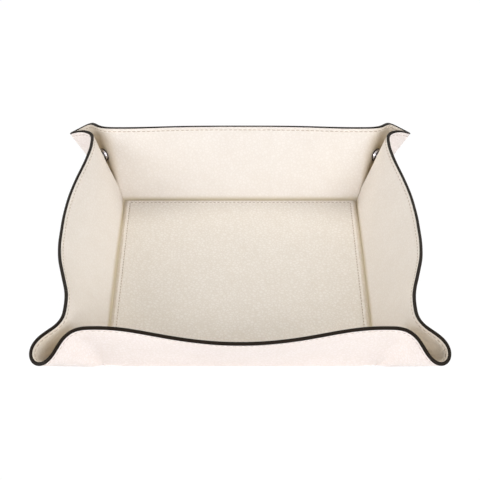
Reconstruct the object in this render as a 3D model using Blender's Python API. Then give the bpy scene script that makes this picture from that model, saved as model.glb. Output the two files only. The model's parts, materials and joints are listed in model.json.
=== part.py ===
"""Trinket tray of two leather layers, with four corners pinched into spouts and held by snaps.

Metres, +Z up, the front wall towards -Y. The origin is the middle of the base, on the table.
Every leather piece is cut from one flat blank. A wall is a ruled sheet that leans out from its
crease. A corner is the part of the blank beyond two creases: it folds up as a cone whose apex is
the base corner, bending outward at a neck and then round a keel on the diagonal. Half a corner
hangs on each of its two walls, and the snap joins the halves.

Each piece is first worked out in its wall's own axes: along the crease, out from the tray, and up.
"""

import math

import bmesh
import bpy
import numpy as np
from mathutils import Vector

MM = 0.001
DEGREE = math.pi / 180

# Driving sizes of the blank
FLOOR_WIDTH = 190 * MM
FLOOR_DEPTH = 190 * MM
WALL_HEIGHT = 61.2 * MM
CORNER_RADIUS = 38.3 * MM
LEATHER = 1.1 * MM
LAYER_GAP = 0.2 * MM

# How the walls stand: leans are measured from the vertical
FRONT_BACK_LEAN = 32 * DEGREE
SIDE_LEAN = 36 * DEGREE
END_LEAN = 21.6 * DEGREE
FRONT_BACK_FULLNESS = 1.17
SIDE_FULLNESS = 1.34

# How the corners fold: angles in the blank, from the wall's end line at 0 to the diagonal at 45
NECK_ANGLE = 15 * DEGREE
NECK_SPREAD = 14.5 * DEGREE
KEEL_SPREAD = 23.6 * DEGREE
DIAGONAL = 45 * DEGREE
CURVE_STEPS = 90

# Clearances
CLEARANCE = 0.3 * MM
KEEL_CLEARANCE = 0.2 * MM
KEEL_FOOT_CLEARANCE = 0.7 * MM
FIT = 0.1 * MM

# Painted edge
EDGE_DEPTH = 0.9 * MM
EDGE_PROUD = 0.1 * MM
EDGE_ROUND = 0.45 * MM

# Thinning of the leather towards a base corner
CORNER_START = 5 * MM
SKIVE_END = 14 * MM
KEEL_FOOT_END = 30 * MM
SKIVE_LEAST_SHARE = 0.3
CORNER_ROWS = (8 * MM, SKIVE_END, 24 * MM, 42 * MM)

# Base
BOARD_THICKNESS = 1.5 * MM
BOARD_CORNER = 3 * MM
BOARD_GAP = 0.4 * MM
PANEL_FOOT_INSET = 1.2 * MM
PANEL_SLOPE_RUN = 1.8 * MM
PANEL_BEND = 0.6 * MM

# Snap, along its axis from the middle of the spout
SNAP_REACH = 41 * MM
SNAP_ANGLE = 23 * DEGREE
SNAP_SIDES = 16
SOCKET_RADIUS = 5.5 * MM
SOCKET_LIP = 4.9 * MM
SOCKET_MOUTH = -0.2 * MM
SOCKET_BORE = 2.45 * MM
SOCKET_FLOOR = 0.75 * MM
SOCKET_ROUND = 0.5 * MM
STUD_RADIUS = 5.1 * MM
STUD_BASE = 0.8 * MM
STUD_NECK = 1.75 * MM
STUD_BALL = 2.0 * MM
STUD_TIP_ROOM = 0.25 * MM
STUD_BALL_SHARE = 0.6
STUD_BALL_ROUND_SHARE = 0.3
POST_RADIUS = 1.0 * MM
POST_FLARE = 0.35 * MM
POST_FLARE_THICKNESS = 0.25 * MM
FLANGE_RADIUS = 3.0 * MM
FLANGE_THICKNESS = 0.4 * MM

# Sampling. The neck's shares run along its spread from the neck's middle, the keel's back from the diagonal
WALL_COLUMNS = 14
FULL_WIDTH_RISE = 7.5 * MM
ROUND_STEPS = 3
ROUND_LAST_ANGLE = 77 * DEGREE
NECK_SHARES = (-0.6, -0.25, 0.05, 0.4)
KEEL_SHARES = (0.85, 0.68, 0.48, 0.3, 0.15)
SHARP_ANGLE = 35 * DEGREE

# Newton's method for the two turns of a half corner's curve
FIRST_TURNS = (50 * DEGREE, 90 * DEGREE)
TURN_NUDGE = 0.001 * DEGREE
TURN_ROUNDS = 12

HALF_THICKNESS = LEATHER + LAYER_GAP / 2
MID_HEIGHT = HALF_THICKNESS
PANEL_TOP_INSET = PANEL_FOOT_INSET + PANEL_SLOPE_RUN
BOARD_INSET = PANEL_TOP_INSET + PANEL_BEND + BOARD_GAP
HINGE_REACH = HALF_THICKNESS + CLEARANCE
OUTER_LAYER = (LAYER_GAP / 2, HALF_THICKNESS)
LINING_LAYER = (-HALF_THICKNESS, -LAYER_GAP / 2)

ACROSS = Vector((-1, 1, 0)).normalized()
OUTWARD = Vector((1, 1, 0)).normalized()


class Wall:
    """One wall of the tray, with the frame that its pieces are worked out in."""

    def __init__(self, name, along, out, half_length, reach, lean, fullness):
        self.name = name
        self.along = Vector(along)
        self.out = Vector(out)
        self.half_length = half_length
        self.reach = reach
        self.lean = lean
        self.fullness = fullness

    def place(self, point, end=1):
        """A point of the wall's own axes in the tray's. end is -1 for the mirrored end."""
        return self.along * (point[0] * end) + self.out * point[1] + Vector((0, 0, point[2]))

    def lean_at(self, along):
        share = min(1, abs(along) / self.half_length)
        return END_LEAN + (self.lean - END_LEAN) * (1 + math.cos(math.pi * share**self.fullness)) / 2

    def corner(self):
        return np.array((self.half_length, self.reach, MID_HEIGHT))


WALLS = (
    Wall("front", (1, 0, 0), (0, -1, 0), FLOOR_WIDTH / 2, FLOOR_DEPTH / 2, FRONT_BACK_LEAN, FRONT_BACK_FULLNESS),
    Wall("back", (1, 0, 0), (0, 1, 0), FLOOR_WIDTH / 2, FLOOR_DEPTH / 2, FRONT_BACK_LEAN, FRONT_BACK_FULLNESS),
    Wall("left", (0, 1, 0), (-1, 0, 0), FLOOR_DEPTH / 2, FLOOR_WIDTH / 2, SIDE_LEAN, SIDE_FULLNESS),
    Wall("right", (0, 1, 0), (1, 0, 0), FLOOR_DEPTH / 2, FLOOR_WIDTH / 2, SIDE_LEAN, SIDE_FULLNESS),
)


def bump(value):
    """A raised cosine of area 1 over -1 to 1."""
    return (1 + np.cos(np.pi * value)) / 2 * (np.abs(value) < 1)


def fold_curve(neck_turn, keel_turn):
    """Unit rays from the base corner over the blank's angles, and the outer normals.

    The rays' tips run at unit speed over a sphere, so the cone keeps the blank's lengths.
    """
    step = DIAGONAL / CURVE_STEPS
    angle = (np.arange(CURVE_STEPS) + 0.5) * step
    turning = neck_turn * bump((angle - NECK_ANGLE) / NECK_SPREAD) / NECK_SPREAD
    turning -= 2 * keel_turn * bump((angle - DIAGONAL) / KEEL_SPREAD) / KEEL_SPREAD
    ray = np.array((0, math.sin(END_LEAN), math.cos(END_LEAN)))
    heading = np.array((1.0, 0, 0))
    rays = [ray]
    normals = [np.cross(ray, heading)]
    for rate in turning:
        turn = rate * step
        heading = heading * math.cos(turn) + np.cross(ray, heading) * math.sin(turn)
        ray, heading = (
            ray * math.cos(step) + heading * math.sin(step),
            heading * math.cos(step) - ray * math.sin(step),
        )
        rays.append(ray)
        normals.append(np.cross(ray, heading))
    return np.array(rays), np.array(normals)


def closed_fold_curve():
    """The fold curve whose last ray lies on the diagonal and crosses it square, by Newton's method."""
    turns = np.array(FIRST_TURNS)

    def misses(values):
        rays, normals = fold_curve(*values)
        return np.array((rays[-1] @ np.array(ACROSS), normals[-1] @ np.array(ACROSS)))

    for _ in range(TURN_ROUNDS):
        miss = misses(turns)
        slopes = [(misses(turns + TURN_NUDGE * unit) - miss) / TURN_NUDGE for unit in np.eye(2)]
        turns = turns - np.linalg.solve(np.array(slopes).T, miss)
    return fold_curve(*turns)


RAYS, NORMALS = closed_fold_curve()
CURVE_ANGLES = np.linspace(0, DIAGONAL, CURVE_STEPS + 1)


def ray_at(angle):
    return np.array([np.interp(angle, CURVE_ANGLES, RAYS[:, axis]) for axis in range(3)])


def normal_at(angle):
    return np.array([np.interp(angle, CURVE_ANGLES, NORMALS[:, axis]) for axis in range(3)])


def thinning(distance):
    """The share of its thickness that the leather keeps at this distance from the base corner."""
    share = (distance - CORNER_START) / (SKIVE_END - CORNER_START)
    return SKIVE_LEAST_SHARE + (1 - SKIVE_LEAST_SHARE) * min(1, max(0, share))


def keel_clearance(distance):
    """From a half corner to the diagonal, wider towards the base corner, where the halves turn past each other."""
    share = (distance - CORNER_START) / (KEEL_FOOT_END - CORNER_START)
    return KEEL_FOOT_CLEARANCE + (KEEL_CLEARANCE - KEEL_FOOT_CLEARANCE) * min(1, share)


def leather_point(wall, along, rise, offset):
    """A point of the wall's sheet, rise measured up the leather, offset towards the outer face."""
    beyond = along - wall.half_length
    if beyond > 0:
        distance = math.hypot(beyond, rise)
        return corner_point(wall, distance, math.atan2(beyond, rise), offset)
    lean = wall.lean_at(along)
    out = wall.reach + rise * math.sin(lean) + offset * math.cos(lean)
    up = MID_HEIGHT + rise * math.cos(lean) - offset * math.sin(lean)
    return np.array((along, out, up))


def corner_point(wall, distance, angle, offset):
    """A point of the half corner, by polar position in the blank about the base corner."""
    return wall.corner() + distance * ray_at(angle) + offset * normal_at(angle)


def rim_distance(angle, inset):
    """From the base corner to the blank's rounded outline drawn in by inset, at an angle of the blank."""
    side = WALL_HEIGHT - inset
    radius = CORNER_RADIUS - inset
    straight = side / math.cos(angle)
    if straight * math.sin(angle) < side - radius:
        return straight
    centre = side - radius
    middle = centre * (math.cos(angle) + math.sin(angle))
    return middle + math.sqrt(middle**2 - 2 * centre**2 + radius**2)


def new_material(name, colour, roughness, metallic):
    material = bpy.data.materials.new(name)
    material.use_nodes = True
    shader = material.node_tree.nodes["Principled BSDF"]
    shader.inputs["Base Color"].default_value = (*colour, 1)
    shader.inputs["Roughness"].default_value = roughness
    shader.inputs["Metallic"].default_value = metallic
    material.diffuse_color = (*colour, 1)
    return material


def new_object(name, mesh, material, parent=None):
    """Links a mesh that is drawn in the tray's axes, moved to sit at its parent's origin."""
    mesh.materials.append(material)
    obj = bpy.data.objects.new(name, mesh)
    bpy.context.scene.collection.objects.link(obj)
    if parent:
        for vertex in mesh.vertices:
            vertex.co -= PIVOTS[parent.name]
        obj.parent = parent
    return obj


PIVOTS = {}


def new_pivot(name, place, parent=None):
    """An empty on a joint's axis. Its place is in the tray's axes."""
    pivot = bpy.data.objects.new(name, None)
    pivot.empty_display_size = SNAP_REACH / 2
    bpy.context.scene.collection.objects.link(pivot)
    PIVOTS[name] = Vector(place)
    pivot.location = PIVOTS[name]
    if parent:
        pivot.parent = parent
        pivot.location = PIVOTS[name] - PIVOTS[parent.name]
    return pivot


def closed_mesh(name, rings, ends_closed=True):
    """A solid from equal rings of points, each bridged to the next. Closed ends are filled."""
    shape = bmesh.new()
    rows = [[shape.verts.new(point) for point in ring] for ring in rings]
    pairs = list(zip(rows, rows[1:]))
    if not ends_closed:
        pairs.append((rows[-1], rows[0]))
    for row, following in pairs:
        for index in range(len(row)):
            other = (index + 1) % len(row)
            shape.faces.new((row[index], row[other], following[other], following[index]))
    if ends_closed:
        shape.faces.new(rows[0])
        shape.faces.new(rows[-1])
    return finished_mesh(name, shape)


def finished_mesh(name, shape):
    bmesh.ops.triangulate(shape, faces=[face for face in shape.faces if len(face.verts) > 4])
    bmesh.ops.recalc_face_normals(shape, faces=shape.faces)
    mesh = bpy.data.meshes.new(name)
    shape.to_mesh(mesh)
    shape.free()
    mesh.shade_smooth()
    mesh.set_sharp_from_angle(angle=SHARP_ANGLE)
    return mesh


def sheet_mesh(name, inner, outer):
    """A thick sheet from two grids of points of the same size, closed all round."""
    shape = bmesh.new()
    sides = [[[shape.verts.new(point) for point in row] for row in grid] for grid in (inner, outer)]
    rows = len(inner)
    columns = len(inner[0])
    for grid in sides:
        for row in range(rows - 1):
            for column in range(columns - 1):
                shape.faces.new((
                    grid[row][column],
                    grid[row][column + 1],
                    grid[row + 1][column + 1],
                    grid[row + 1][column],
                ))
    border = [(0, column) for column in range(columns)]
    border += [(row, columns - 1) for row in range(1, rows)]
    border += [(rows - 1, column) for column in range(columns - 2, -1, -1)]
    border += [(row, 0) for row in range(rows - 2, 0, -1)]
    for here, there in zip(border, border[1:] + border[:1]):
        shape.faces.new((
            sides[0][here[0]][here[1]],
            sides[0][there[0]][there[1]],
            sides[1][there[0]][there[1]],
            sides[1][here[0]][here[1]],
        ))
    return finished_mesh(name, shape)


def round_end():
    """Steps past a hinge line, with the greatest offset that stays inside the round end."""
    angles = [ROUND_LAST_ANGLE * step / ROUND_STEPS for step in range(1, ROUND_STEPS + 1)]
    return [(HALF_THICKNESS * math.sin(angle), HALF_THICKNESS * math.cos(angle)) for angle in angles]


def wall_columns(wall, rise):
    """Positions along a wall at one height with the offset limit of each, ending in round ends."""
    past_corner = rise * math.sin(END_LEAN) - HALF_THICKNESS * math.cos(END_LEAN) - math.sqrt(2) * CLEARANCE
    steps = round_end()
    end = wall.half_length - steps[-1][0] + min(steps[-1][0], past_corner)
    middle = [(end * (2 * step / WALL_COLUMNS - 1), HALF_THICKNESS) for step in range(WALL_COLUMNS + 1)]
    right = [(end + past, limit) for past, limit in steps]
    left = [(-along, limit) for along, limit in reversed(right)]
    return left + middle + right


def wall_grid(wall, rises, offset):
    grid = []
    for rise in rises:
        row = []
        for along, limit in wall_columns(wall, rise):
            kept = max(-limit, min(limit, offset))
            point = leather_point(wall, abs(along), rise, kept)
            row.append(wall.place(point, math.copysign(1, along)))
        grid.append(row)
    return grid


def add_wall_layer(wall, kind, layer, material, parent):
    rises = (HINGE_REACH, FULL_WIDTH_RISE, WALL_HEIGHT - EDGE_DEPTH - FIT)
    name = f"{kind}_{wall.name}_wall"
    grids = [wall_grid(wall, rises, offset) for offset in layer]
    return new_object(name, sheet_mesh(name, *grids), material, parent)


def corner_angles(distance):
    """Angles of a half corner's columns at one distance from the base corner, close where it bends."""
    neck = [NECK_ANGLE + share * NECK_SPREAD for share in NECK_SHARES]
    keel = [DIAGONAL - share * KEEL_SPREAD for share in KEEL_SHARES]
    start = math.asin(HINGE_REACH / distance)
    end = DIAGONAL - math.asin(keel_clearance(distance) / distance)
    spread = [start + (end - start) * angle / DIAGONAL for angle in neck + keel]
    return [start] + spread + [end]


def add_corner_layer(wall, end, kind, layer, material, parent):
    """Half a corner of one leather layer, from near the base corner to the painted edge."""
    name = f"{kind}_{corner_name(wall, end)}_{wall.name}_half"
    inset = EDGE_DEPTH + FIT
    grids = []
    for offset in layer:
        grid = []
        for distance in (CORNER_START, *CORNER_ROWS):
            row = []
            for angle in corner_angles(distance):
                point = corner_point(wall, distance, angle, offset * thinning(distance))
                row.append(wall.place(point, end))
            grid.append(row)
        rim = [(rim_distance(angle, inset), angle) for angle in corner_angles(WALL_HEIGHT)]
        grid.append([wall.place(corner_point(wall, *polar, offset), end) for polar in rim])
        grids.append(grid)
    return new_object(name, sheet_mesh(name, *grids), material, parent)


def edge_section():
    """Inset from the rim and offset of each point of the painted edge's rounded section."""
    half = HALF_THICKNESS + EDGE_PROUD
    face = ((EDGE_DEPTH, half), (EDGE_ROUND, half), (0, half - EDGE_ROUND))
    return [(inset, -offset) for inset, offset in face] + [(inset, offset) for inset, offset in reversed(face)]


def add_wall_edge(wall, material, parent):
    name = f"edge_{wall.name}_wall"
    rings = []
    for along, limit in wall_columns(wall, WALL_HEIGHT):
        ring = []
        for inset, offset in edge_section():
            kept = offset if limit >= HALF_THICKNESS else offset * limit / (HALF_THICKNESS + EDGE_PROUD)
            point = leather_point(wall, abs(along), WALL_HEIGHT - inset, kept)
            ring.append(wall.place(point, math.copysign(1, along)))
        rings.append(ring)
    return new_object(name, closed_mesh(name, rings), material, parent)


def add_corner_edge(wall, end, material, parent):
    name = f"edge_{corner_name(wall, end)}_{wall.name}_half"
    rings = []
    for angle in corner_angles(WALL_HEIGHT):
        ring = [corner_point(wall, rim_distance(angle, inset), angle, offset) for inset, offset in edge_section()]
        rings.append([wall.place(point, end) for point in ring])
    return new_object(name, closed_mesh(name, rings), material, parent)


def corner_name(wall, end):
    """The tray's corner at this end of a wall, such as front_left."""
    if wall.name in ("front", "back"):
        return f"{wall.name}_{'right' if end > 0 else 'left'}"
    return f"{'back' if end > 0 else 'front'}_{wall.name}"


def square_ring(inset, height, rounding=0):
    """A level square of the floor's shape, drawn in by inset from the creases. Its corners may be cut."""
    half_x = FLOOR_WIDTH / 2 - inset
    half_y = FLOOR_DEPTH / 2 - inset
    if not rounding:
        return [(x * half_x, y * half_y, height) for x, y in ((1, 1), (-1, 1), (-1, -1), (1, -1))]
    ring = []
    for x, y in ((1, 1), (-1, 1), (-1, -1), (1, -1)):
        first = (x * half_x, y * (half_y - rounding), height)
        second = (x * (half_x - rounding), y * half_y, height)
        ring += [first, second] if x * y > 0 else [second, first]
    return ring


def add_floor_outer(material):
    """The outer leather under the base, its edge rounded about the creases' axes."""
    rings = [square_ring(0, 0), *[square_ring(-past, MID_HEIGHT - limit) for past, limit in round_end()]]
    rings += [square_ring(-round_end()[-1][0], LEATHER)]
    return new_object("outer_base", closed_mesh("outer_base", rings), material)


def add_base_board(material):
    low = LEATHER + FIT
    rings = [square_ring(BOARD_INSET, height, BOARD_CORNER) for height in (low, low + BOARD_THICKNESS)]
    return new_object("base_board", closed_mesh("base_board", rings), material)


def add_floor_lining(material):
    """The lining over the base: a raised panel over the board, stepping down to the creases."""
    under_panel = LEATHER + BOARD_THICKNESS + 2 * FIT
    over_panel = under_panel + LEATHER
    under_border = MID_HEIGHT + LAYER_GAP / 2
    over_border = under_border + LEATHER
    rings = [
        square_ring(PANEL_TOP_INSET + PANEL_BEND, under_panel),
        square_ring(PANEL_FOOT_INSET + PANEL_BEND, under_border),
        square_ring(-round_end()[-1][0], under_border),
        *[square_ring(-past, MID_HEIGHT + limit) for past, limit in reversed(round_end())],
        square_ring(0, over_border),
        square_ring(PANEL_FOOT_INSET, over_border),
        square_ring(PANEL_TOP_INSET - PANEL_BEND, over_panel - PANEL_BEND / 2),
        square_ring(PANEL_TOP_INSET + PANEL_BEND, over_panel),
    ]
    return new_object("lining_base", closed_mesh("lining_base", rings), material)


def snap_point(wall, end, radius, turn, height):
    """A point about the snap's axis, which crosses the spout square to the diagonal.

    Height runs from the middle of the spout towards this wall's half.
    """
    centre = corner_point(wall, SNAP_REACH, SNAP_ANGLE, 0)
    centre -= np.array(ACROSS) * ((centre - wall.corner()) @ np.array(ACROSS))
    about = Vector(centre) + radius * (math.cos(turn) * OUTWARD + math.sin(turn) * Vector((0, 0, 1)))
    return wall.place(about + height * ACROSS, end)


def turned_mesh(name, wall, end, profile, ring_shaped):
    """A body turned about the snap's axis from (radius, height) points. A ring's profile is a closed loop."""
    turns = [2 * math.pi * side / SNAP_SIDES for side in range(SNAP_SIDES)]
    rings = [[snap_point(wall, end, radius, turn, height) for turn in turns] for radius, height in profile]
    return closed_mesh(name, rings, ends_closed=not ring_shaped)


def leather_middle():
    """Height of the leather's middle on the snap's axis."""
    return float(SNAP_REACH * ray_at(SNAP_ANGLE) @ np.array(ACROSS))


def snap_seat():
    """Height of the snap's back face, which the hollow lining touches round its rim."""
    widest = max(SOCKET_RADIUS, STUD_RADIUS)
    distance = np.linspace(SNAP_REACH - 2 * widest, SNAP_REACH + 2 * widest, CURVE_STEPS)
    lining = distance[:, None, None] * RAYS - HALF_THICKNESS * NORMALS
    from_axis = lining - SNAP_REACH * ray_at(SNAP_ANGLE)
    away = np.hypot(from_axis @ np.array(OUTWARD), from_axis[:, :, 2])
    heights = lining @ np.array(ACROSS)
    return float(heights[away < widest].min()) - FIT


def stud_tip():
    """How far the stud reaches past the middle of the spout, short of the flared post in the socket."""
    return snap_seat() - SOCKET_FLOOR - FIT - POST_FLARE_THICKNESS - STUD_TIP_ROOM


def add_pocket(wall, end, parent):
    """The cutter for the hole and the recess that a snap's post needs in the two layers."""
    name = f"pocket_{corner_name(wall, end)}_{wall.name}_half"
    recess = FLANGE_THICKNESS / 2 + FIT
    hole = POST_RADIUS + FIT
    middle = leather_middle()
    profile = [
        (hole, 0),
        (hole, middle - recess),
        (FLANGE_RADIUS + FIT, middle - recess),
        (FLANGE_RADIUS + FIT, middle + recess),
    ]
    cutter = new_object(name, turned_mesh(name, wall, end, profile, False), MATERIALS["steel"], parent)
    cutter.hide_render = True
    cutter.display_type = "WIRE"
    return cutter


def cut(obj, cutter):
    modifier = obj.modifiers.new(cutter.name, "BOOLEAN")
    modifier.object = cutter
    modifier.operation = "DIFFERENCE"
    modifier.solver = "EXACT"


def post_profile(tip, flare=0):
    """A post from its flange between the layers to its tip, which may be flared."""
    middle = leather_middle()
    profile = [
        (FLANGE_RADIUS, middle + FLANGE_THICKNESS / 2),
        (FLANGE_RADIUS, middle - FLANGE_THICKNESS / 2),
        (POST_RADIUS, middle - FLANGE_THICKNESS / 2),
    ]
    if flare:
        profile.append((POST_RADIUS, tip + POST_FLARE_THICKNESS))
        profile.append((POST_RADIUS + flare, tip + POST_FLARE_THICKNESS))
    profile.append((POST_RADIUS + flare, tip))
    return profile


def add_socket(wall, end, parent):
    """The ring that takes the stud, and the post that holds it to its half of the corner."""
    corner = corner_name(wall, end)
    seat = snap_seat()
    floor = seat - SOCKET_FLOOR
    profile = [
        (SOCKET_BORE, SOCKET_MOUTH),
        (SOCKET_LIP - SOCKET_ROUND, SOCKET_MOUTH),
        (SOCKET_LIP, SOCKET_MOUTH + SOCKET_ROUND),
        (SOCKET_LIP, floor - SOCKET_ROUND),
        (SOCKET_RADIUS, floor),
        (SOCKET_RADIUS, seat),
        (POST_RADIUS + FIT, seat),
        (POST_RADIUS + FIT, floor),
        (SOCKET_BORE, floor),
    ]
    name = f"snap_socket_{corner}"
    new_object(name, turned_mesh(name, wall, end, profile, True), MATERIALS["chrome"], parent)
    name = f"snap_socket_post_{corner}"
    post = post_profile(floor - FIT - POST_FLARE_THICKNESS, POST_FLARE)
    new_object(name, turned_mesh(name, wall, end, post, False), MATERIALS["steel"], parent)


def add_stud(wall, end, parent):
    """The stud and the post that runs through it to its tip."""
    corner = corner_name(wall, end)
    seat = snap_seat()
    base = seat - STUD_BASE
    tip = -stud_tip()
    ball_height = (base - tip) * STUD_BALL_SHARE
    ball_round = ball_height * STUD_BALL_ROUND_SHARE
    profile = [
        (POST_RADIUS + FIT, seat),
        (STUD_RADIUS, seat),
        (STUD_RADIUS, base),
        (STUD_NECK, base),
        (STUD_NECK, tip + ball_height),
        (STUD_BALL, tip + ball_height - ball_round),
        (STUD_BALL, tip + ball_round),
        (STUD_BALL - ball_round, tip),
        (POST_RADIUS + FIT, tip),
    ]
    name = f"snap_stud_{corner}"
    new_object(name, turned_mesh(name, wall, end, profile, True), MATERIALS["chrome"], parent)
    name = f"snap_stud_post_{corner}"
    new_object(name, turned_mesh(name, wall, end, post_profile(tip), False), MATERIALS["steel"], parent)


def add_corner_half(wall, end, wall_pivot):
    """Both layers and the edge of half a corner, with its half of the snap, on a pivot at the base corner."""
    name = f"{corner_name(wall, end)}_{wall.name}_half_pivot"
    pivot = new_pivot(name, wall.place(wall.corner(), end), wall_pivot)
    cutter = add_pocket(wall, end, pivot)
    for kind, layer in (("outer", OUTER_LAYER), ("lining", LINING_LAYER)):
        piece = add_corner_layer(wall, end, kind, layer, MATERIALS[kind], pivot)
        cut(piece, cutter)
    add_corner_edge(wall, end, MATERIALS["edge"], pivot)
    if wall.name in ("front", "back"):
        add_socket(wall, end, pivot)
    else:
        add_stud(wall, end, pivot)


def add_wall(wall):
    pivot = new_pivot(f"{wall.name}_wall_pivot", wall.place((0, wall.reach, MID_HEIGHT)))
    add_wall_layer(wall, "outer", OUTER_LAYER, MATERIALS["outer"], pivot)
    add_wall_layer(wall, "lining", LINING_LAYER, MATERIALS["lining"], pivot)
    add_wall_edge(wall, MATERIALS["edge"], pivot)
    for end in (-1, 1):
        add_corner_half(wall, end, pivot)


for leftover in list(bpy.data.objects):
    bpy.data.objects.remove(leftover)

MATERIALS = {
    "outer": new_material("cream_outer_leather", (0.78, 0.71, 0.63), 0.55, 0),
    "lining": new_material("cream_lining_leather", (0.76, 0.69, 0.60), 0.6, 0),
    "edge": new_material("black_edge_paint", (0.012, 0.010, 0.011), 0.35, 0),
    "board": new_material("grey_board", (0.35, 0.31, 0.26), 0.9, 0),
    "chrome": new_material("chrome_snap", (0.62, 0.62, 0.63), 0.18, 1),
    "steel": new_material("steel_post", (0.45, 0.45, 0.46), 0.35, 1),
}
add_floor_outer(MATERIALS["outer"])
add_base_board(MATERIALS["board"])
add_floor_lining(MATERIALS["lining"])
for tray_wall in WALLS:
    add_wall(tray_wall)
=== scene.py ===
"""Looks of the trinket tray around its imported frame: leather skins, stitching, painted edge and snaps.

Metres, +Z up, in the frame's own axes. All leather is drawn from one flat blank. A point of the blank
is given by x along its wall's crease and y up the leather from it. The blank folds up as walls that
lean out, and as corners that bend outward at a neck and then round a keel on the diagonal. Lining and
outer leather lie either side of this folded middle sheet, thinned towards the base corners.
"""

import json
import math

import bpy
import numpy as np
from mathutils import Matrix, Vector


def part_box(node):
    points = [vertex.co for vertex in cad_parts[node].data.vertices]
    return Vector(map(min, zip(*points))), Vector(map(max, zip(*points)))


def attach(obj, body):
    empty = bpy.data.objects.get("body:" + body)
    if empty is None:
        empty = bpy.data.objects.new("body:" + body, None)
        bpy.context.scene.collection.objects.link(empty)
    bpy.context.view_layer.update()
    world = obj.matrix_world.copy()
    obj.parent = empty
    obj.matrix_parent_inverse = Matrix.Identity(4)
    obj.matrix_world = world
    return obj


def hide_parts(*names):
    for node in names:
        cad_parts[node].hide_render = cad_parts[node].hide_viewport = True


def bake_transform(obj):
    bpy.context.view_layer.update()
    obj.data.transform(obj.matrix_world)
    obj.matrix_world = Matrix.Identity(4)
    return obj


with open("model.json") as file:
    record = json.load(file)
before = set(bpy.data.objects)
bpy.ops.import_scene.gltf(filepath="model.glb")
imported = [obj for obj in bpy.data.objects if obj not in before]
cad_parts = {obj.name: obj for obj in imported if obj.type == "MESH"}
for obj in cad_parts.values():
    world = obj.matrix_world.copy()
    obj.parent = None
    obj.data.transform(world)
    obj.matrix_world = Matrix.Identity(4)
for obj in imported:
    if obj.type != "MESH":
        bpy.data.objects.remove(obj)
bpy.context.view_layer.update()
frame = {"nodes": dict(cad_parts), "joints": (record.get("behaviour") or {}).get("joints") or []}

MM = 0.001
DEGREE = math.pi / 180
UP = np.array((0.0, 0.0, 1.0))
# Square to a corner's diagonal, and along it
ACROSS = np.array((-1, 1, 0)) / math.sqrt(2)
OUTWARD = np.array((1, 1, 0)) / math.sqrt(2)
JOINTS = {joint["name"]: joint for joint in frame["joints"]}

# The folded blank, as the construction has it
HALF_WIDTH = JOINTS["right_wall_fold"]["pos_m"][0]
HALF_DEPTH = JOINTS["back_wall_fold"]["pos_m"][1]
MID_HEIGHT = JOINTS["right_wall_fold"]["pos_m"][2]
END_LEAN = math.asin(abs(JOINTS["back_left_back_half_unbend"]["axis"][1]))
WALL_HEIGHT = 61.2 * MM
CORNER_RADIUS = 38.3 * MM
LAYER_GAP = 0.2 * MM
HALF_THICKNESS = MID_HEIGHT
FRONT_BACK_LEAN = 32 * DEGREE
SIDE_LEAN = 36 * DEGREE
FRONT_BACK_FULLNESS = 1.17
SIDE_FULLNESS = 1.34
NECK_ANGLE = 15.0 * DEGREE
NECK_SPREAD = 14.5 * DEGREE
KEEL_SPREAD = 23.6 * DEGREE
DIAGONAL = 45 * DEGREE
CURVE_STEPS = 360
TINY = 1e-12
FIRST_TURNS = (50 * DEGREE, 90 * DEGREE)
TURN_NUDGE = 0.001 * DEGREE
TURN_ROUNDS = 6

# Spans between one body and the next: over a crease, as out and up, and past an end line. The bends work
# out their ends and leave them unused
CREASE_BLEND = ((-1.0 * MM, 2.0 * MM), (0.4 * MM, 4.0 * MM))
NECK_BLEND = 9 * MM

# Thinning of the leather towards a base corner
THIN_START = 5 * MM
THIN_END = 14 * MM
THIN_LEAST_SHARE = 0.3

# Foot of the outer leather at a base corner, and the filling of its valley at the neck
FOOT_REACH = 9 * MM
FOOT_ANGLE = 12 * DEGREE
FOOT_START = 1.5 * MM
VALLEY_FILL = 0.7 * MM
VALLEY_SPREAD = 13 * DEGREE
VALLEY_FULL = 14 * MM
VALLEY_END = (10 * MM, 24 * MM)

# Third coordinate of each layer's blank, so that their grain differs
LINING_BLANK = 0.0
OUTER_BLANK = 0.5

# Surface of the leather
EDGE_DEPTH = 1.0 * MM
STITCH_INSET = 3.5 * MM
STITCH_SINK = 0.26 * MM
STITCH_SINK_WIDTH = 0.5 * MM
EDGE_PRESS = 0.22 * MM
EDGE_PRESS_WIDTH = 1.2 * MM
CREASE_PRESS = 0.95 * MM
CREASE_PRESS_WIDTH = 1.7 * MM
WAVES = ((47 * MM, 0.3, 1.1), (31 * MM, 2.2, 0.4), (23 * MM, 1.2, 2.7))
WAVE_HEIGHT = 0.05 * MM
WAVE_START = 4 * MM
WAVE_FULL = 26 * MM

# Base panel, by distance from the creases
GROOVE_HEIGHT = 1.6 * MM
GROOVE_INSET = 0.25 * MM
GROOVE_RISE = 0.5 * MM
RIDGE_START = 0.4 * MM
RIDGE_TOP = 3.9 * MM
BOARD_FOOT = 3.6 * MM
PANEL_HEIGHT = 3.85 * MM
RIDGE_EXTRA = 0.2 * MM
RIDGE_MIDDLE = 4.0 * MM
RIDGE_WIDTH = 1.2 * MM
PANEL_CORNER = 3 * MM
PANEL_STITCH_INSET = 5.6 * MM
PANEL_SINK = 0.35 * MM
PANEL_SINK_WIDTH = 0.45 * MM
PANEL_LEATHER = 1.1 * MM
BOARD_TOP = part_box("base_board")[1].z
OUTER_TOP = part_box("outer_base")[1].z
FIT = 0.05 * MM
OUTER_INSET = 0.5 * MM
OUTER_RISE = 1.3 * MM
UNDER_SINK = 0.5 * MM

# Painted edge
PAINT_HALF_WIDTH = 1.28 * MM
PAINT_ROUNDING = 0.6
PAINT_SIDES = 13

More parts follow.
